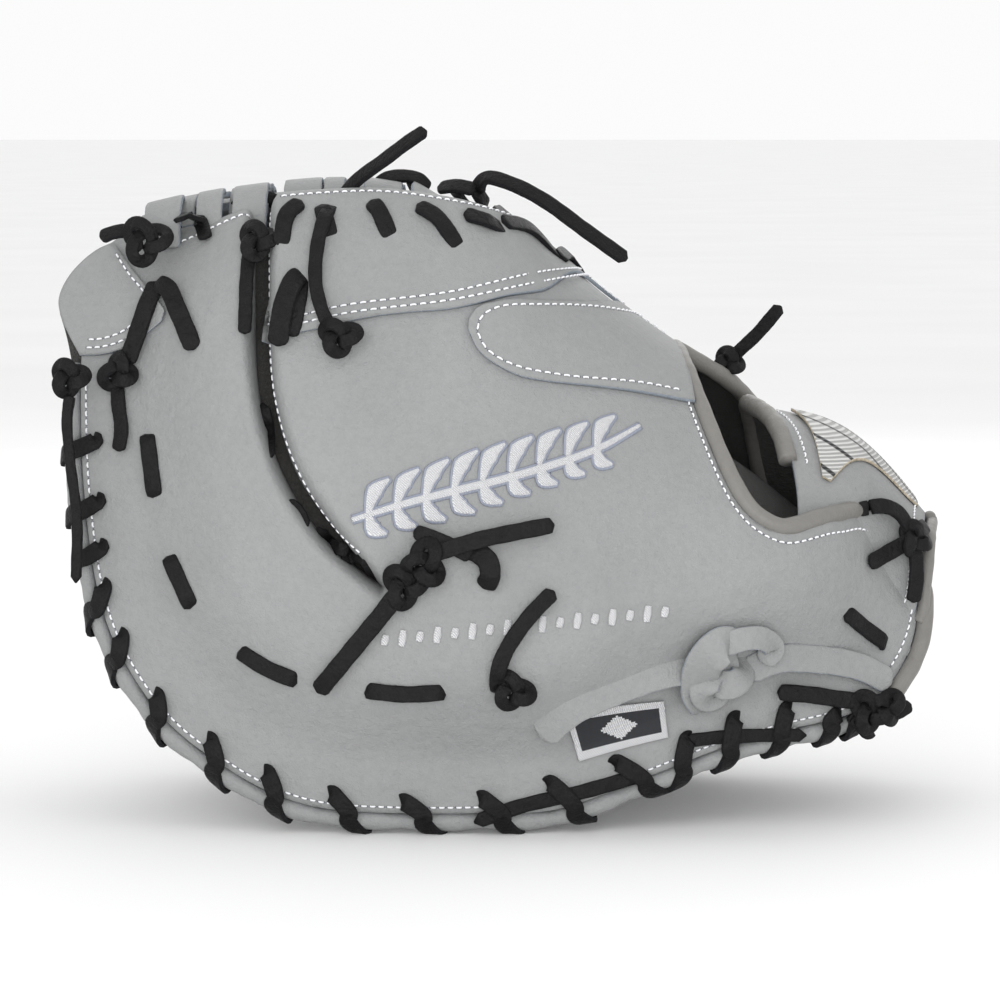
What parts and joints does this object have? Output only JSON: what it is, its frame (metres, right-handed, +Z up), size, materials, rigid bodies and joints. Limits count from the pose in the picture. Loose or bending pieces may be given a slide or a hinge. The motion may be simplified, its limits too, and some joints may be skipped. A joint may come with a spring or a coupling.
{
  "type": "first baseman mitt",
  "caption": "Laced leather mitt with a deep pocket, a laced web between fingers and thumb, and a strap over the wrist.",
  "frame": {"origin": "on the floor, under the middle of the mitt's bounding box", "axes": "+X to the heel, -X to the fingertips, -Y to the little-finger side, +Y to the thumb side, +Z up"},
  "size_m": [0.3006, 0.1806, 0.2331],
  "materials": {
    "grey_leather": "smooth pebbled leather",
    "binding_leather": "smooth rolled leather",
    "black_rawhide": "waxed rawhide",
    "woven_label": "woven",
    "patch_cloth": "embroidered"
  },
  "bodies": {
    "root": {"palm": "grey_leather", "finger_back": "grey_leather", "thumb_back": "grey_leather", "finger_rim_bead": "grey_leather", "thumb_rim_bead": "grey_leather", "finger_rim_lace": "black_rawhide", "thumb_rim_lace": "black_rawhide", "finger_opening_binding": "binding_leather", "thumb_opening_binding": "binding_leather", "wrist_strap": "grey_leather", "strap_binding": "binding_leather", "strap_label": "woven_label", "web_bar_tip": "grey_leather", "web_bar_front": "grey_leather", "web_bar_middle": "grey_leather", "web_base": "grey_leather", "web_post": "grey_leather", "index_cap": "grey_leather", "fingertip_cap": "grey_leather", "finger_hood": "grey_leather", "thumb_cap": "grey_leather", "patch": "patch_cloth", "finger_web_lace": "black_rawhide", "thumb_web_lace": "black_rawhide", "lace_tip_knot": "black_rawhide", "lace_stall_knot": "black_rawhide", "lace_stall_loop": "black_rawhide", "lace_slit_top_knot": "black_rawhide", "lace_index_loop": "black_rawhide", "lace_index_knot": "black_rawhide", "lace_slit_end_knot": "black_rawhide", "lace_slit_end_loop": "black_rawhide", "lace_palm_knot": "black_rawhide", "lace_heel_knot": "black_rawhide", "lace_stall_stitch_1": "black_rawhide", "lace_stall_stitch_2": "black_rawhide", "lace_stall_stitch_3": "black_rawhide", "lace_stall_stitch_4": "black_rawhide", "lace_heel_stitch": "black_rawhide", "lace_web_tip_knot": "black_rawhide", "lace_web_tail": "black_rawhide", "lace_thumb_tail": "black_rawhide", "lace_strap_cross": "black_rawhide", "adjusting_tie": "grey_leather"}
  },
  "joints": []
}
